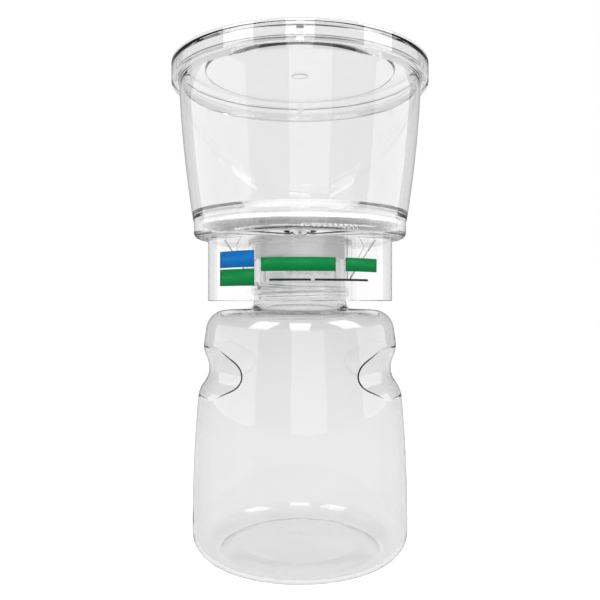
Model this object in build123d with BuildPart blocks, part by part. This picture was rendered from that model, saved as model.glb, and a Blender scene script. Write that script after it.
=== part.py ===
from build123d import *

import math
import os

# Vacuum filtration unit, 500 mL size. Millimetres, +Z up, the origin under the centre of the bottle on the
# surface that it stands on. The vacuum port points along +Y. Every outline is a half section: radius, height.

# Bottle
body_r = 48.9
body_wall = 1.5
base_corner_r = 10.5
ring_width = 2.4
ring_edge_r = 3.0
push_up_run = 5.5
push_up_edge = 2.6
push_up_edge_r = 12.0
push_up_centre = 4.6
side_start = 14.0
side_taper = 7.2
shoulder_edge = 109.2
shoulder_rise = 0.9
shoulder_corner_r = 9.4
neck_r = 21.25
neck_wall = 2.55
neck_root_r = 2.8
neck_lip_r = 0.5
neck_height = 22.3

# Finger grips, one on each side of the bottle, hollow in the middle and rounded over above and below
grip_drop = 26.7
grip_depth = 3.7
grip_half_height = 12.3
grip_floor_r = 11.0
grip_half_angle = 58.2
grip_lip_gap = 0.02

# Pieces that lie against each other, or are welded, keep this gap between their faces
close_fit = 0.02

# Seal between neck and collar
neck_gasket_thickness = 1.2
gasket_margin = 0.2

# Screw collar with the seat for the neck and four gussets, and the outer skirt
collar_drop = 18.8
thread_room = 1.35
collar_wall = 1.5
seat_wall = 2.1
seat_inset = 0.2
seat_drop = 6.2
collar_flange = 1.3
skirt_inset = 6.3
skirt_wall = 1.8
skirt_lip_r = 0.4
gusset_spread = 30.0
gusset_thickness = 1.5
gusset_gap = 3.3
gusset_toe = 0.8
gusset_lift = 9.1

# Filter base: plate, drain floor, cup that holds the membrane, and spout
plate_thickness = 2.2
rim_lift = 2.0
rim_edge_r = 2.4
floor_rise = 1.9
cup_r = 48.3
cup_wall = 1.8
screen_seat_width = 1.9
plenum_depth = 2.8
cup_depth = 2.9
spout_r = 5.0
spout_bore_r = 3.4
spout_end_below_neck = 5.4
post_r = 1.2
post_ring_pitch = 12.0
posts_per_ring = 6

# Membrane, its screen and its gasket
screen_thickness = 1.3
screen_hole_r = 0.9
screen_hole_pitch = 5.2
holes_per_ring = 6
membrane_thickness = 0.2
membrane_gasket_thickness = 0.8
disc_clearance = 0.2

# Funnel
foot_overhang = 0.3
funnel_flare = 6.45
funnel_bulge = 0.97
funnel_wall = 1.6
funnel_height = 64.7
rim_bead_height = 6.8
rim_bead_face = 1.5
rim_bead_out = 0.65
foot_ledge = 1.4
foot_slope = 2.4
tongue_clearance = 0.1

# Lid
lid_clearance = 0.7
lid_wall = 1.8
lid_drop = 3.2
vent_gap = 3.1
panel_thickness = 1.5
stack_rim_height = 0.8
stack_rim_width = 1.3
panel_border = 13.6
disc_drop = 0.8
disc_step_run = 0.5
gate_mark_r = 3.9
gate_mark_depth = 0.4
rib_count = 4
rib_width = 2.75
rib_length = 5.9
edge_round = 0.5

# Vacuum port and hose connector
port_height_above_neck = 3.6
port_tube_r = 3.4
port_boss = 4.0
port_hole_clearance = 0.1
port_bridge_r = 2.1
port_bridge_bore_r = 1.4
socket_r = 2.5
connector_bore_r = 1.5
connector_shank = 8.0
flange_r = 5.0
flange_thickness = 2.0
stem_r = 3.1
barb_r = 4.0
barb_length = 3.6
barb_count = 2
stem_gap = 1.4
nozzle_tip = 1.2
plug_length = 6.0
plug_gap = 1.0

# Heights and radii that follow from the sizes above
ring_inner_r = body_r - base_corner_r - ring_width
push_up_r = ring_inner_r - push_up_run
shoulder_edge_r = body_r - side_taper
shoulder_top = shoulder_edge + shoulder_rise
side_bow_r = ((shoulder_edge - side_start) ** 2 + side_taper ** 2) / (2 * side_taper)
grip_height = shoulder_edge - grip_drop
grip_bow = side_bow_r - math.sqrt(side_bow_r ** 2 - grip_half_height ** 2)
grip_rise = grip_depth - grip_bow + grip_lip_gap
grip_flank = 2 * math.degrees(math.atan(grip_rise / grip_half_height))
grip_lip_r = grip_half_height / math.sin(math.radians(grip_flank)) - grip_floor_r
neck_bore_r = neck_r - neck_wall
neck_top = shoulder_top + neck_height
seat_bottom = neck_top + neck_gasket_thickness + 2 * close_fit
plate_bottom = seat_bottom + seat_drop
collar_bottom = neck_top - collar_drop
collar_top = plate_bottom - close_fit
collar_inner_r = neck_r + thread_room
collar_r = collar_inner_r + collar_wall
seat_inner_r = neck_bore_r - seat_inset
seat_r = seat_inner_r + seat_wall
skirt_r = cup_r - skirt_inset
skirt_inner_r = skirt_r - skirt_wall
gusset_reach_r = skirt_inner_r - gusset_gap
rim_bottom = plate_bottom + rim_lift
floor_centre = plate_bottom + plate_thickness
floor_edge = floor_centre + floor_rise
cup_inner_r = cup_r - cup_wall
screen_seat = floor_edge + plenum_depth
screen_seat_r = cup_inner_r - screen_seat_width
cup_top = screen_seat + cup_depth
disc_stack_r = cup_inner_r - disc_clearance
screen_bottom = screen_seat + close_fit
membrane_bottom = screen_bottom + screen_thickness
membrane_top = membrane_bottom + membrane_thickness
tongue_bottom = membrane_top + membrane_gasket_thickness + close_fit
foot_bottom = cup_top + close_fit
funnel_foot_r = cup_r + foot_overhang
funnel_rim_r = funnel_foot_r + funnel_flare
funnel_top = foot_bottom + funnel_height
bead_r = funnel_rim_r + rim_bead_out
bead_bottom = funnel_top - rim_bead_height
bead_root_r = funnel_rim_r - funnel_flare * rim_bead_height / funnel_height
lid_inner_r = bead_r + lid_clearance
lid_r = lid_inner_r + lid_wall
lid_bottom = funnel_top - lid_drop
panel_bottom = funnel_top + vent_gap
panel_top = panel_bottom + panel_thickness
lid_top = panel_top + stack_rim_height
disc_r = lid_inner_r - panel_border
disc_bottom = panel_bottom - disc_drop
rib_inner_r = lid_inner_r - rib_length
port_height = neck_top + port_height_above_neck
port_end = skirt_r + port_boss
shank_start = port_end - connector_shank
plug_start = shank_start - plug_gap - plug_length
socket_start = plug_start - plug_gap

os.makedirs("parts", exist_ok=True)


def write(piece, name):
    """Label a finished piece and write it as a STEP file of the same name."""
    piece.part.label = name
    export_step(piece.part, f"parts/{name}.step")


def round_corner(section, corner, radius):
    """Round the corner of a half section that lies nearest to the given radius and height."""
    fillet(section.vertices().sort_by_distance(corner)[0], radius=radius)


def radial_plane(turn):
    """The upright plane through the axis, its local x pointing outwards at the given angle from +X."""
    along = math.radians(turn)
    return Plane(origin=(0, 0, 0), x_dir=(math.cos(along), math.sin(along), 0),
                 z_dir=(math.sin(along), -math.cos(along), 0))


def port_plane(distance):
    """The plane across the port's bore at a distance from the unit's axis, facing outwards."""
    return Plane(origin=(0, distance, port_height), x_dir=(1, 0, 0), z_dir=(0, 1, 0))


def side_radius(height):
    """Outer radius of the bottle's bowed side: an arc that leaves the straight foot without a corner."""
    return body_r - side_bow_r + math.sqrt(side_bow_r ** 2 - (height - side_start) ** 2)


def grip_hollow(way, inset):
    """What one finger grip removes. Its section leans as the side does: a hollow floor that rolls over into
    a lip above and below. It runs round the bottle's axis, and its straight ends leave a crease."""
    side_r = side_radius(grip_height)
    path_r = side_r - grip_depth
    runout = math.degrees(math.acos(path_r / side_r))
    lean = math.asin((grip_height - side_start) / side_bow_r)
    lip_centre = grip_rise - grip_lip_r
    outside = 2 * grip_depth
    with BuildPart(mode=Mode.PRIVATE) as hollow:
        with BuildLine(Plane.XY.offset(grip_height)):
            bend = CenterArc((0, 0), path_r, way + runout - grip_half_angle, 2 * (grip_half_angle - runout))
            lead = Line(bend @ 0 - (bend % 0) * path_r, bend @ 0)
            Line(bend @ 1, bend @ 1 + (bend % 1) * path_r)
        outwards = (lead % 0).cross(Vector(0, 0, 1))
        leaning = outwards * math.cos(lean) + Vector(0, 0, 1) * math.sin(lean)
        with BuildSketch(Plane(origin=lead @ 0, x_dir=leaning, z_dir=lead % 0)):
            with BuildLine():
                CenterArc((grip_floor_r, 0), grip_floor_r + inset, 180 - grip_flank, 2 * grip_flank)
                upper = CenterArc((lip_centre, grip_half_height), grip_lip_r - inset, 0, -grip_flank)
                lower = CenterArc((lip_centre, -grip_half_height), grip_lip_r - inset, 0, grip_flank)
                Polyline(upper @ 0, (outside, grip_half_height), (outside, -grip_half_height), lower @ 0)
            make_face()
        sweep()
    return hollow.part


def bottle_body(inset, neck_radius, neck_end):
    """The filled shape of the bottle drawn inset from its outer surface, with its two finger grips."""
    foot = (body_r - inset, side_start)
    shoulder = (shoulder_edge_r - inset, shoulder_edge - inset)
    hollows = [grip_hollow(way, inset) for way in (0, 180)]
    with BuildPart() as body:
        with BuildSketch(Plane.YZ) as section:
            with BuildLine():
                FilletPolyline(
                    (0, push_up_centre + inset),
                    (push_up_r, push_up_edge + inset),
                    (ring_inner_r, inset),
                    (body_r - inset, inset),
                    foot,
                    radius=[push_up_edge_r + inset, ring_edge_r - inset, base_corner_r - inset],
                )
                TangentArc(foot, shoulder, tangent=(0, 1))
                Polyline(
                    shoulder,
                    (neck_radius, shoulder_top - inset),
                    (neck_radius, neck_end),
                    (0, neck_end),
                    (0, push_up_centre + inset),
                )
            make_face()
            round_corner(section, shoulder, shoulder_corner_r - inset)
            round_corner(section, (neck_radius, shoulder_top - inset), neck_root_r + inset)
        revolve(axis=Axis.Z)

        add(hollows, mode=Mode.SUBTRACT)
    return body.part


# The bottle is blown in one piece, so its wall follows the grips and the raised base.
with BuildPart() as bottle:
    add(bottle_body(0, neck_r, neck_top))
    add(bottle_body(body_wall, neck_bore_r, neck_top + body_wall), mode=Mode.SUBTRACT)
    lip = bottle.faces().sort_by(Axis.Z)[-1]
    fillet(lip.edges(), radius=neck_lip_r)
write(bottle, "bottle")

# A flat ring on the neck's lip, under the collar's seat.
with BuildPart() as neck_gasket:
    with BuildSketch(Plane.XY.offset(neck_top + close_fit)):
        Circle(min(neck_r, seat_r) - gasket_margin)
        Circle(neck_bore_r + gasket_margin, mode=Mode.SUBTRACT)
    extrude(amount=neck_gasket_thickness)
write(neck_gasket, "neck_gasket")

# The collar hangs from the filter base. Its flange joins it to the seat that presses on the neck gasket.
with BuildPart() as neck_collar:
    with BuildSketch(Plane.XZ):
        with BuildLine():
            Polyline(
                (seat_inner_r, seat_bottom),
                (seat_r, seat_bottom),
                (seat_r, collar_top - collar_flange),
                (collar_inner_r, collar_top - collar_flange),
                (collar_inner_r, collar_bottom),
                (collar_r, collar_bottom),
                (collar_r, collar_top),
                (seat_inner_r, collar_top),
                close=True,
            )
        make_face()
    revolve(axis=Axis.Z)

    # Two gussets on each side run from the middle of the collar out under the plate.
    collar_mid_r = collar_r - collar_wall / 2
    for turn in (-gusset_spread, gusset_spread, 180 - gusset_spread, 180 + gusset_spread):
        with BuildSketch(radial_plane(turn)):
            with BuildLine():
                Polyline(
                    (collar_mid_r, collar_bottom + gusset_lift),
                    (collar_r + gusset_toe, collar_bottom + gusset_lift),
                    (gusset_reach_r, collar_top),
                    (collar_mid_r, collar_top),
                    close=True,
                )
            make_face()
        extrude(amount=gusset_thickness / 2, both=True)

    # Vacuum port: a tube from the collar out through the skirt, and a narrow bridge in to the seat.
    seat_mid_r = seat_r - seat_wall / 2
    with BuildSketch(port_plane(collar_mid_r)):
        Circle(port_tube_r)
    extrude(amount=port_end - collar_mid_r)
    with BuildSketch(port_plane(seat_mid_r)):
        Circle(port_bridge_r)
    extrude(amount=collar_mid_r - seat_mid_r)
    with BuildSketch(port_plane(socket_start)):
        Circle(socket_r)
    extrude(amount=port_end - socket_start, mode=Mode.SUBTRACT)
    with BuildSketch(port_plane(0)):
        Circle(port_bridge_bore_r)
    extrude(amount=socket_start, mode=Mode.SUBTRACT)
write(neck_collar, "neck_collar")

# The skirt is a plain ring round the collar, with a hole that the port's tube passes through.
with BuildPart() as base_skirt:
    with BuildSketch(Plane.XZ) as section:
        with BuildLine():
            Polyline(
                (skirt_inner_r, collar_bottom),
                (skirt_r, collar_bottom),
                (skirt_r, collar_top),
                (skirt_inner_r, collar_top),
                close=True,
            )
        make_face()
        round_corner(section, (skirt_inner_r, collar_bottom), skirt_lip_r)
        round_corner(section, (skirt_r, collar_bottom), skirt_lip_r)
    revolve(axis=Axis.Z)
    with BuildSketch(port_plane(0)):
        Circle(port_tube_r + port_hole_clearance)
    extrude(amount=port_end, mode=Mode.SUBTRACT)
write(base_skirt, "base_skirt")

# Plate, cup and spout are one moulding; the floor of the cup falls towards the spout.
with BuildPart() as filter_base:
    with BuildSketch(Plane.XZ) as section:
        with BuildLine():
            Polyline(
                (0, plate_bottom),
                (skirt_r, plate_bottom),
                (skirt_r, rim_bottom),
                (cup_r, rim_bottom),
                (cup_r, cup_top),
                (cup_inner_r, cup_top),
                (cup_inner_r, screen_seat),
                (screen_seat_r, screen_seat),
                (screen_seat_r, floor_edge),
                (spout_bore_r, floor_centre),
                (0, floor_centre),
                close=True,
            )
        make_face()
        round_corner(section, (cup_r, rim_bottom), rim_edge_r)
        round_corner(section, (screen_seat_r, floor_edge), edge_round)
    revolve(axis=Axis.Z)

    # Posts on the floor carry the screen.
    plate_mid = plate_bottom + plate_thickness / 2
    post_rings = int((screen_seat_r - post_r) / post_ring_pitch)
    with BuildSketch(Plane.XY.offset(plate_mid)):
        for ring in range(1, post_rings + 1):
            with PolarLocations(ring * post_ring_pitch, posts_per_ring * ring):
                Circle(post_r)
    extrude(amount=screen_seat - plate_mid)

    # Drain spout, which ends inside the neck.
    spout_end = neck_top - spout_end_below_neck
    with BuildSketch(Plane.XY.offset(spout_end)):
        Circle(spout_r)
    extrude(amount=plate_mid - spout_end)
    with BuildSketch(Plane.XY.offset(spout_end)):
        Circle(spout_bore_r)
    extrude(amount=screen_seat - spout_end, mode=Mode.SUBTRACT)
write(filter_base, "filter_base")

# The screen is a flat perforated disc; its holes stand on rings a pitch apart.
with BuildPart() as support_screen:
    with BuildSketch(Plane.XY.offset(screen_bottom)):
        Circle(disc_stack_r)
        hole_rings = int((screen_seat_r - screen_hole_r) / screen_hole_pitch)
        for ring in range(1, hole_rings + 1):
            with PolarLocations(ring * screen_hole_pitch, holes_per_ring * ring):
                Circle(screen_hole_r, mode=Mode.SUBTRACT)
    extrude(amount=screen_thickness)
write(support_screen, "support_screen")

with BuildPart() as membrane:
    with BuildSketch(Plane.XY.offset(membrane_bottom)):
        Circle(disc_stack_r)
    extrude(amount=membrane_thickness)
write(membrane, "membrane")

with BuildPart() as membrane_gasket:
    with BuildSketch(Plane.XY.offset(membrane_top)):
        Circle(disc_stack_r)
        Circle(screen_seat_r, mode=Mode.SUBTRACT)
    extrude(amount=membrane_gasket_thickness)
write(membrane_gasket, "membrane_gasket")

# The wall of the funnel bows outwards and thickens at the rim. Its foot stands on the cup, and inside it a
# tongue presses on the gasket.
with BuildPart() as funnel:
    with BuildSketch(Plane.XZ) as section:
        with BuildLine():
            foot = (funnel_foot_r, foot_bottom)
            rim = (funnel_rim_r, funnel_top)
            ledge = (funnel_foot_r - funnel_wall, foot_bottom + foot_ledge + foot_slope)
            SagittaArc(foot, rim, -funnel_bulge)
            SagittaArc(ledge, (funnel_rim_r - funnel_wall, funnel_top), -funnel_bulge)
            Line(rim, (funnel_rim_r - funnel_wall, funnel_top))
            Polyline(
                ledge,
                (screen_seat_r, foot_bottom + foot_ledge),
                (screen_seat_r, tongue_bottom),
                (cup_inner_r - tongue_clearance, tongue_bottom),
                (cup_inner_r - tongue_clearance, foot_bottom),
                foot,
            )
        make_face()
    revolve(axis=Axis.Z)
    with BuildSketch(Plane.XZ):
        with BuildLine():
            Polyline(
                (funnel_rim_r - funnel_wall / 2, funnel_top),
                (bead_root_r, bead_bottom),
                (bead_r, funnel_top - rim_bead_face),
                (bead_r, funnel_top),
                close=True,
            )
        make_face()
    revolve(axis=Axis.Z)
    top_rings = funnel.edges().group_by(Axis.Z)[-1]
    fillet(top_rings, radius=edge_round)
write(funnel, "funnel")

# The lid is stepped down in the middle and stands on ribs, which leave a gap for air over the funnel's rim.
with BuildPart() as lid:
    with BuildSketch(Plane.XZ) as section:
        with BuildLine():
            Polyline(
                (0, disc_bottom),
                (disc_r, disc_bottom),
                (disc_r + disc_step_run, panel_bottom),
                (lid_inner_r, panel_bottom),
                (lid_inner_r, lid_bottom),
                (lid_r, lid_bottom),
                (lid_r, lid_top),
                (lid_r - stack_rim_width, lid_top),
                (lid_r - stack_rim_width, panel_top),
                (disc_r + disc_step_run, panel_top),
                (disc_r, panel_top - disc_drop),
                (0, panel_top - disc_drop),
                close=True,
            )
        make_face()
        round_corner(section, (lid_r, lid_top), edge_round)
        round_corner(section, (lid_inner_r, panel_bottom), edge_round)
        round_corner(section, (disc_r, disc_bottom), edge_round / 2)
    revolve(axis=Axis.Z)
    with BuildSketch(Plane.XY.offset(disc_bottom - gate_mark_depth)):
        Circle(gate_mark_r)
    extrude(amount=panel_thickness / 2)
    with BuildSketch(Plane.XY.offset(panel_top - disc_drop)):
        Circle(gate_mark_r - gate_mark_depth)
    extrude(amount=-gate_mark_depth, mode=Mode.SUBTRACT)
    rib_bottom = funnel_top + close_fit
    rib_end = lid_inner_r + lid_wall / 2
    rib_top = panel_bottom + panel_thickness / 2
    for step in range(rib_count):
        with BuildSketch(radial_plane(step * 360 / rib_count)):
            with BuildLine():
                Polyline(
                    (rib_inner_r, rib_bottom),
                    (rib_end, rib_bottom),
                    (rib_end, rib_top),
                    (rib_inner_r, rib_top),
                    close=True,
                )
            make_face()
        extrude(amount=rib_width / 2, both=True)
write(lid, "lid")

# The connector is pushed into the port: a plain shank, a flange that stops it, and a barbed stem.
with BuildPart() as hose_connector:
    stem_start = port_end + flange_thickness + stem_gap
    with BuildSketch(Plane(origin=(0, 0, port_height), x_dir=(0, 1, 0), z_dir=(1, 0, 0))) as section:
        with BuildLine():
            outline = Polyline(
                (shank_start, connector_bore_r),
                (shank_start, socket_r - close_fit),
                (port_end, socket_r - close_fit),
                (port_end, flange_r),
                (port_end + flange_thickness, flange_r),
                (port_end + flange_thickness, stem_r),
                (stem_start, stem_r),
            )
            for barb in range(barb_count):
                start = stem_start + barb * barb_length
                outline = Polyline(outline @ 1, (start, barb_r), (start + barb_length, stem_r))
            Polyline(
                outline @ 1,
                (stem_start + barb_count * barb_length + nozzle_tip, stem_r),
                (stem_start + barb_count * barb_length + nozzle_tip, connector_bore_r),
                (shank_start, connector_bore_r),
            )
        make_face()
    revolve(axis=Axis((0, 0, port_height), (0, 1, 0)))
write(hose_connector, "hose_connector")

with BuildPart() as port_plug:
    with BuildSketch(port_plane(plug_start)):
        Circle(socket_r - close_fit)
    extrude(amount=plug_length)
write(port_plug, "port_plug")
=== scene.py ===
import math

import bmesh
import bpy
from mathutils import Matrix, Vector


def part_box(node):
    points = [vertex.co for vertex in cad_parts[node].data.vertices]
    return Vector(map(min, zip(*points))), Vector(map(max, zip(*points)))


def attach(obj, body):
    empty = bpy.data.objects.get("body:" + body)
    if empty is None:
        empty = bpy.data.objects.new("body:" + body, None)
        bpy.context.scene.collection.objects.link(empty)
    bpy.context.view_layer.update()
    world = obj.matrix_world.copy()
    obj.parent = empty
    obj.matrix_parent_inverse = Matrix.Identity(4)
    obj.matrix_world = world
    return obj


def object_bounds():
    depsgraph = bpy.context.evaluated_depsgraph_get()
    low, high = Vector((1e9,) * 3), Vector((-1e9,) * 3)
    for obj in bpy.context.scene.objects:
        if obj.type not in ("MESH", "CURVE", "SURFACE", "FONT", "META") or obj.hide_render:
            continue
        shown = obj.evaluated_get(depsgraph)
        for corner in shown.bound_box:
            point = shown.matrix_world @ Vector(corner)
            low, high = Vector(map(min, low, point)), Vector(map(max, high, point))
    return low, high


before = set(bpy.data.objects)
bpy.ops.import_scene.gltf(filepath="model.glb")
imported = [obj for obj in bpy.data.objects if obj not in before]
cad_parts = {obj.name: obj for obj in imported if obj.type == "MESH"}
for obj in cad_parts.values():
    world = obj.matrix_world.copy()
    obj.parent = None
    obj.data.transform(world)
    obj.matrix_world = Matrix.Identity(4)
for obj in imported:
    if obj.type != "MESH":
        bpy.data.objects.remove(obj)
cad_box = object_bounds()

# ---------------------------------------------------------------- bottle
# The receiver is blown in one piece from clear polystyrene, so it has polished walls of even thickness, a
# raised base and two finger grips. The plastic is a trace grey, and its walls carry faint waves from the
# blowing. A rounded thread winds once round its neck.


def add_node(tree, kind, **values):
    """Add a shader node and set its plain inputs: a keyword names the input, with _ for a space."""
    node = tree.nodes.new(kind)
    for name, value in values.items():
        node.inputs[name.replace("_", " ")].default_value = value
    return node


def new_material(name):
    """Start a material with an empty node tree and an output."""
    material = bpy.data.materials.new(name)
    material.use_nodes = True
    material.node_tree.nodes.clear()
    return material, material.node_tree, material.node_tree.nodes.new("ShaderNodeOutputMaterial")


def noise(tree, scale, stretch=(1, 1, 1)):
    """Noise over the piece's own coordinates; scale is in lumps per metre, and stretch squeezes it along
    an axis."""
    place = tree.nodes.new("ShaderNodeTexCoord")
    mapping = add_node(tree, "ShaderNodeMapping", Scale=stretch)
    pattern = add_node(tree, "ShaderNodeTexNoise", Scale=scale, Detail=3)
    tree.links.new(place.outputs["Object"], mapping.inputs["Vector"])
    tree.links.new(mapping.outputs["Vector"], pattern.inputs["Vector"])
    return pattern.outputs["Fac"]


def ranged(tree, value, source, target):
    """A node that carries a value from one range of numbers over to another."""
    span = tree.nodes.new("ShaderNodeMapRange")
    for end, number in zip(("From Min", "From Max", "To Min", "To Max"), (*source, *target)):
        span.inputs[end].default_value = number
    tree.links.new(value, span.inputs["Value"])
    return span


def between(tree, pattern, low, high):
    """Turn noise, most of which lies from 0.3 to 0.7, into a number that runs from low to high."""
    return ranged(tree, pattern, (0.3, 0.7), (low, high)).outputs["Result"]


def two_tones(tree, pattern, dark, light):
    """Turn noise into a colour that runs from dark to light."""
    ramp = tree.nodes.new("ShaderNodeValToRGB")
    for element, position, colour in zip(ramp.color_ramp.elements, (0.3, 0.7), (dark, light)):
        element.position = position
        element.color = (*colour, 1)
    tree.links.new(pattern, ramp.inputs["Fac"])
    return ramp.outputs["Color"]


def mixed(tree, share, first, second):
    """Mix two shaders: share 0 gives the first and 1 the second."""
    mix = tree.nodes.new("ShaderNodeMixShader")
    tree.links.new(share, mix.inputs["Fac"])
    tree.links.new(first, mix.inputs[1])
    tree.links.new(second, mix.inputs[2])
    return mix.outputs["Shader"]


def polished(tree):
    """The roughness of a wall from a polished mould, which is next to none."""
    return between(tree, noise(tree, 90), 0.0, 0.01)


def clear_plastic(name, passed, density, finish=polished):
    """Clear polystyrene. passed is the share of light that one wall's two faces let through, density is
    how much a metre of it absorbs, which darkens the walls where they are seen edge on, and finish gives
    the roughness."""
    material, tree, output = new_material(name)
    body = add_node(tree, "ShaderNodeBsdfPrincipled", Transmission_Weight=1.0, IOR=1.52)
    waves = noise(tree, 35, stretch=(1, 1, 0.4))
    wave_height = 0.000002
    tint = two_tones(tree, waves, [passed - 0.012] * 3, [passed + 0.008] * 3)
    tree.links.new(tint, body.inputs["Base Color"])
    tree.links.new(finish(tree), body.inputs["Roughness"])
    bump = add_node(tree, "ShaderNodeBump", Strength=1.0, Distance=wave_height)
    tree.links.new(waves, bump.inputs["Height"])
    tree.links.new(bump.outputs["Normal"], body.inputs["Normal"])

    # Light passes the clear walls on its way to what they hold, so their shadows are faint.
    shade = add_node(tree, "ShaderNodeBsdfTransparent", Color=(passed, passed, passed, 1))
    path = tree.nodes.new("ShaderNodeLightPath")
    surface = mixed(tree, path.outputs["Is Shadow Ray"], body.outputs["BSDF"], shade.outputs["BSDF"])
    tree.links.new(surface, output.inputs["Surface"])
    bulk = add_node(tree, "ShaderNodeVolumeAbsorption", Color=(0.35, 0.36, 0.37, 1), Density=density)
    tree.links.new(bulk.outputs["Volume"], output.inputs["Volume"])
    return material


def finish_node(name, material):
    """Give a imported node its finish."""
    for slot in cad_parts[name].material_slots:
        slot.material = material


def hoop(name, section, start, turn, rise=0.0):
    """Spin a closed section of (radius, height) pairs about the unit's axis, a step every 3 degrees.
    start and turn are in degrees, counted from the front towards +X, and rise is the climb in a whole
    turn."""
    bm = bmesh.new()
    corners = [bm.verts.new((radius, 0, height)) for radius, height in section]
    bm.faces.new(corners)
    to_start = Matrix.Rotation(math.radians(start - 90), 3, "Z")
    bmesh.ops.rotate(bm, verts=corners, cent=(0, 0, 0), matrix=to_start)
    steps = max(2, round(turn / 3))
    bmesh.ops.spin(bm, geom=bm.verts[:] + bm.edges[:] + bm.faces[:], cent=(0, 0, 0), axis=(0, 0, 1),
                   dvec=(0, 0, rise * turn / 360 / steps), angle=math.radians(turn), steps=steps)
    bmesh.ops.recalc_face_normals(bm, faces=bm.faces)
    for face in bm.faces:
        face.smooth = True
    mesh = bpy.data.meshes.new(name)
    bm.to_mesh(mesh)
    bm.free()
    piece = bpy.data.objects.new(name, mesh)
    bpy.context.collection.objects.link(piece)
    return piece


def thread(name, root_r, crest_r, height, start, turn):
    """A rounded thread from its root's radius to its crest's. height is that of its middle where it
    starts, and it climbs by the pitch in a whole turn, as the screw joint does."""
    pitch = 0.004
    # Each point of the profile is a share of the way from root to crest, and millimetres from the middle.
    profile = [(0, -0.9), (0.35, -0.7), (0.8, -0.5), (1, -0.25), (1, 0.25), (0.8, 0.5), (0.35, 0.7), (0, 0.9)]
    section = [(root_r + share * (crest_r - root_r), height + above / 1000) for share, above in profile]
    return hoop(name, section, start, turn, pitch)


bottle_clear = clear_plastic("bottle_polystyrene", passed=0.87, density=30)
finish_node("bottle", bottle_clear)
neck_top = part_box("bottle")[1].z
neck_thread = thread("neck_thread", 0.02127, 0.02225, height=neck_top - 0.0155, start=-110, turn=396)
neck_thread.data.materials.append(bottle_clear)
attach(neck_thread, "receiver")

# ---------------------------------------------------------------- neck gasket
# A flat ring is stamped from soft, milky silicone sheet. It lies loose on the lip of the neck, and the
# seat of the collar presses it down when the head is screwed on.


def grained(name, dark, light, grain, finish, finish_grain, relief=0.0, **values):
    """A material that isn't clear. Its colour runs from dark to light over a grain in lumps per metre, and
    its roughness between the two values of finish over another grain. relief is the height of its skin,
    and values go to the shader."""
    material, tree, output = new_material(name)
    body = add_node(tree, "ShaderNodeBsdfPrincipled", **values)
    tree.links.new(two_tones(tree, noise(tree, grain), dark, light), body.inputs["Base Color"])
    tree.links.new(between(tree, noise(tree, finish_grain), *finish), body.inputs["Roughness"])
    if relief:
        bump = add_node(tree, "ShaderNodeBump", Strength=0.5, Distance=relief)
        tree.links.new(noise(tree, grain * 2), bump.inputs["Height"])
        tree.links.new(bump.outputs["Normal"], body.inputs["Normal"])
    tree.links.new(body.outputs["BSDF"], output.inputs["Surface"])
    return material


silicone = grained("gasket_silicone", (0.82, 0.83, 0.83), (0.9, 0.9, 0.9), 300, (0.32, 0.45), 900,
                   Transmission_Weight=0.35, IOR=1.41)
finish_node("neck_gasket", silicone)

# ---------------------------------------------------------------- neck collar
# The collar of the base screws onto the neck. Inside it runs a thread, above it stand the seat and four
# gussets, and the tube of the vacuum port leads out to the back. The ring of the seat is frosted, which is
# a guess at why it looks grey in the photo.


def calculated(tree, operation, *values):
    """A calculation on numbers and other nodes' outputs."""
    step = tree.nodes.new("ShaderNodeMath")
    step.operation = operation
    for socket, value in zip(step.inputs, values):
        if isinstance(value, bpy.types.NodeSocket):
            tree.links.new(value, socket)
        else:
            socket.default_value = value
    return step.outputs["Value"]


def frosted_at_the_seat(tree):
    """The roughness of the collar: the ring of the seat is frosted, and all that lies further out is
    polished."""
    seat_reach = 0.0208
    place = tree.nodes.new("ShaderNodeTexCoord")
    level = add_node(tree, "ShaderNodeMapping", Scale=(1, 1, 0))
    tree.links.new(place.outputs["Object"], level.inputs["Vector"])
    radius = tree.nodes.new("ShaderNodeVectorMath")
    radius.operation = "LENGTH"
    tree.links.new(level.outputs["Vector"], radius.inputs[0])
    at_seat = calculated(tree, "LESS_THAN", radius.outputs["Value"], seat_reach)
    return calculated(tree, "MULTIPLY", at_seat, between(tree, noise(tree, 400), 0.41, 0.49))


collar_clear = clear_plastic("collar_polystyrene", passed=0.985, density=4, finish=frosted_at_the_seat)
finish_node("neck_collar", collar_clear)
base_clear = clear_plastic("base_polystyrene", passed=0.985, density=4)
collar_thread = thread("collar_thread", 0.02258, 0.0216, height=neck_top - 0.01683, start=-50, turn=360)
collar_thread.data.materials.append(base_clear)
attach(collar_thread, "head")

# ---------------------------------------------------------------- skirt and its print
# A clear ring hides the collar and gives the fingers something to turn. A code of plain coloured fields
# is printed round its front in thin ink: two stripes one over the other, a green bar in two lengths, and
# a fine black line.

finish_node("base_skirt", base_clear)


def ink(name, colour):
    """Thin printed ink, satin and a little uneven."""
    thin = [channel * 0.9 for channel in colour]
    return grained(name, thin, colour, 700, (0.3, 0.42), 1200, IOR=1.5, Specular_IOR_Level=0.1)


blue_ink = ink("ink_blue", (0.0, 0.115, 0.35))
green_ink = ink("ink_green", (0.0, 0.165, 0.037))
black_ink = ink("ink_black", (0.02, 0.02, 0.02))

# The ink stands a hair off the skirt, so that the two never share a face, and is 0.04 mm thick.
ink_inner_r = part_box("base_skirt")[1].x + 0.00002
ink_outer_r = ink_inner_r + 0.00004

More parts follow.
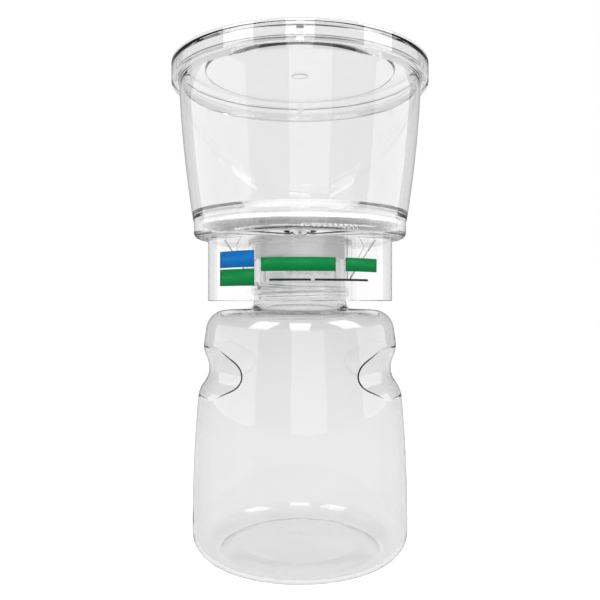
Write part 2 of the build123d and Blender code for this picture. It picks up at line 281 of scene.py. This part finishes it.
# Each field has its ink, the angles in degrees where it starts and through which it runs, and the heights
# of its two long edges.
for name, colour, start, turn, low, high in (
    ("stripe_blue", blue_ink, -53.7, 27.6, 0.1274, 0.1343),
    ("stripe_green", green_ink, -53.7, 27.6, 0.1198, 0.1268),
    ("bar_long", green_ink, -22.0, 42.0, 0.1256, 0.1312),
    ("bar_short", green_ink, 26.0, 24.0, 0.1256, 0.1312),
    ("line_left", black_ink, -17.0, 23.0, 0.1217, 0.1226),
    ("line_right", black_ink, 8.0, 34.0, 0.1217, 0.1226),
):
    section = [(ink_inner_r, low), (ink_outer_r, low), (ink_outer_r, high), (ink_inner_r, high)]
    field = hoop("print_" + name, section, start, turn)
    field.data.materials.append(colour)
    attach(field, "head")

# ---------------------------------------------------------------- filter base
# A plate with the cup for the membrane, the drain spout and the posts that hold up the screen. The real
# base, collar and skirt are probably one clear moulding; here they are three pieces.

finish_node("filter_base", base_clear)

# ---------------------------------------------------------------- screen, membrane and their gasket
# A perforated disc of white plastic lies in the cup and carries the membrane, a thin white film that is
# cut to size. A silicone ring on its edge seals it when the funnel is welded down on it.


def pale(name, dark, light, grain, relief, roughness):
    """A pale material with a fine grain."""
    finish = (roughness - 0.06, roughness + 0.06)
    return grained(name, dark, light, grain, finish, grain / 3, relief, IOR=1.45)


screen_plastic = pale("screen_plastic", (0.92, 0.92, 0.91), (0.97, 0.97, 0.96), 400, 0.00005, 0.45)
membrane_film = pale("membrane_film", (0.9, 0.9, 0.89), (0.96, 0.96, 0.95), 2500, 0.00002, 0.8)
finish_node("support_screen", screen_plastic)
finish_node("membrane", membrane_film)
finish_node("membrane_gasket", silicone)

# ---------------------------------------------------------------- funnel
# The funnel is a thin clear moulding with a bead round its rim, and it widens upwards so that it leaves
# its mould. Its foot is welded to the cup of the base all round.

finish_node("funnel", clear_plastic("funnel_polystyrene", passed=0.92, density=12))

# ---------------------------------------------------------------- lid
# The lid is a thin clear moulding with a shallow skirt and a raised middle. Nothing holds it: it stands
# on four ribs over the funnel's rim and lifts off.

finish_node("lid", clear_plastic("lid_polystyrene", passed=0.925, density=20))

# ---------------------------------------------------------------- hose connector and port plug
# The barbed connector is moulded from natural polypropylene and pushed into the tube of the vacuum port.
# A plug of pressed cotton behind it keeps dust and droplets out.

connector_plastic = pale("connector_polypropylene", (0.8, 0.81, 0.8), (0.88, 0.89, 0.88), 250, 0.00002, 0.38)
plug_cotton = pale("plug_cotton", (0.84, 0.84, 0.82), (0.96, 0.96, 0.95), 1500, 0.0002, 0.95)
finish_node("hose_connector", connector_plastic)
finish_node("port_plug", plug_cotton)

# ---------------------------------------------------------------- studio
# A white floor in a white surround, and a level camera. Three bright panels give the white fields in the
# lid's skirt, three skylights over them the glints on the shoulders of the clear pieces, and three large
# dim cards the soft upright bands in their walls.


def rays(tree, *kinds):
    """1 for the named kinds of ray and 0 for the rest."""
    path = tree.nodes.new("ShaderNodeLightPath")
    total = path.outputs[kinds[0]]
    for kind in kinds[1:]:
        total = calculated(tree, "MAXIMUM", total, path.outputs[kind])
    return total


world = bpy.data.worlds.new("studio")
world.use_nodes = True
bpy.context.scene.world = world
air = world.node_tree
air.nodes.clear()
air_output = air.nodes.new("ShaderNodeOutputWorld")


def surround(strength):
    """The white surround at a strength."""
    return add_node(air, "ShaderNodeBackground", Color=(1, 1, 1, 1), Strength=strength)


# Seen through the walls, the surround is white round the horizon and dark overhead and below, which draws
# the dark lines in the plastic. The number is the sine of the angle above or below the horizon.
direction = air.nodes.new("ShaderNodeTexCoord")
upward = air.nodes.new("ShaderNodeSeparateXYZ")
air.links.new(direction.outputs["Generated"], upward.inputs["Vector"])
steepness = calculated(air, "ABSOLUTE", upward.outputs["Z"])
fall_off = ranged(air, steepness, (0.37, 0.6), (1.0, 0.15))
fall_off.interpolation_type = "SMOOTHSTEP"
seen_through = surround(1.0)
air.links.new(fall_off.outputs["Result"], seen_through.inputs["Strength"])

# In mirrored light and as light on the unit, the surround is dim, and seen straight it is plain white.
sight = surround(0.45).outputs["Background"]
sight = mixed(air, rays(air, "Is Glossy Ray"), sight, surround(0.2).outputs["Background"])
sight = mixed(air, rays(air, "Is Transmission Ray"), sight, seen_through.outputs["Background"])
sight = mixed(air, rays(air, "Is Camera Ray"), sight, surround(1.0).outputs["Background"])
air.links.new(sight, air_output.inputs["Surface"])

floor_r = 4.0
floor_mesh = bpy.data.meshes.new("floor")
floor_bm = bmesh.new()
bmesh.ops.create_circle(floor_bm, cap_ends=True, segments=64, radius=floor_r)
bmesh.ops.translate(floor_bm, verts=floor_bm.verts, vec=(0, 0, cad_box[0][2]))
floor_bm.to_mesh(floor_mesh)
floor_bm.free()
floor = bpy.data.objects.new("floor", floor_mesh)
bpy.context.collection.objects.link(floor)
floor_white, tree, output = new_material("floor_white")


def matt(grey):
    """A matt floor of a plain grey."""
    return add_node(tree, "ShaderNodeBsdfDiffuse", Color=(grey, grey, grey, 1)).outputs["BSDF"]


# Seen straight or through the walls, the floor is white and still takes the unit's shadow. Mirrored, it
# is dim.
glow = add_node(tree, "ShaderNodeEmission", Color=(1, 1, 1, 1), Strength=0.9)
lit = tree.nodes.new("ShaderNodeAddShader")
tree.links.new(glow.outputs["Emission"], lit.inputs[0])
tree.links.new(matt(0.25), lit.inputs[1])
sight = mixed(tree, rays(tree, "Is Glossy Ray"), matt(0.8), matt(0.42))
sight = mixed(tree, rays(tree, "Is Camera Ray", "Is Transmission Ray"), sight, lit.outputs["Shader"])
tree.links.new(sight, output.inputs["Surface"])
floor_mesh.materials.append(floor_white)


def panel(name, turn, lift, across, tall, radiance, seen_inside):
    """A soft rectangular light 1.2 m away, turned about the unit from the front and lifted above its
    middle. It is so many degrees across and tall, and seen_inside says if it shows in walls seen through
    other walls."""
    distance = 1.2
    lamp = bpy.data.lights.new(name, "AREA")
    lamp.shape = "RECTANGLE"
    lamp.size = 2 * distance * math.tan(math.radians(across / 2))
    lamp.size_y = 2 * distance * math.tan(math.radians(tall / 2))
    lamp.energy = radiance * math.pi * lamp.size * lamp.size_y
    stand = bpy.data.objects.new(name, lamp)
    stand.visible_camera = False
    stand.visible_transmission = seen_inside
    bpy.context.collection.objects.link(stand)
    along, up = math.radians(turn), math.radians(lift)
    towards = Vector((math.sin(along) * math.cos(up), -math.cos(along) * math.cos(up), math.sin(up)))
    stand.location = Vector((0, 0, (cad_box[0][2] + cad_box[1][2]) / 2)) + towards * distance
    stand.rotation_euler = towards.to_track_quat("Z", "Y").to_euler()


for side, turn, across in (("left", -52, 25), ("middle", 0, 21), ("right", 68, 26)):
    panel("panel_" + side, turn, lift=25, across=across, tall=8.5, radiance=5.0, seen_inside=False)
    panel("skylight_" + side, turn, lift=43.5, across=across, tall=28, radiance=5.0, seen_inside=True)
for side, turn, across in (("left", -84, 72), ("middle", 9, 37), ("right", 95, 50)):
    panel("card_" + side, turn, lift=-1.5, across=across, tall=43, radiance=1.4, seen_inside=False)

camera_data = bpy.data.cameras.new("camera")
camera_data.sensor_width = 36.0
camera_data.lens = 39.9
camera_data.clip_start = 0.01
camera = bpy.data.objects.new("camera", camera_data)
bpy.context.collection.objects.link(camera)
camera.location = (0, -0.3066, 0.114)
camera.rotation_euler = (math.radians(90), 0, 0)

# A line of sight crosses many clear walls, each with two faces, and is mirrored between them.
scene = bpy.context.scene
scene.camera = camera
scene.view_settings.view_transform = "Standard"
scene.cycles.max_bounces = 40
scene.cycles.transmission_bounces = 40
scene.cycles.glossy_bounces = 12
scene.cycles.transparent_max_bounces = 24
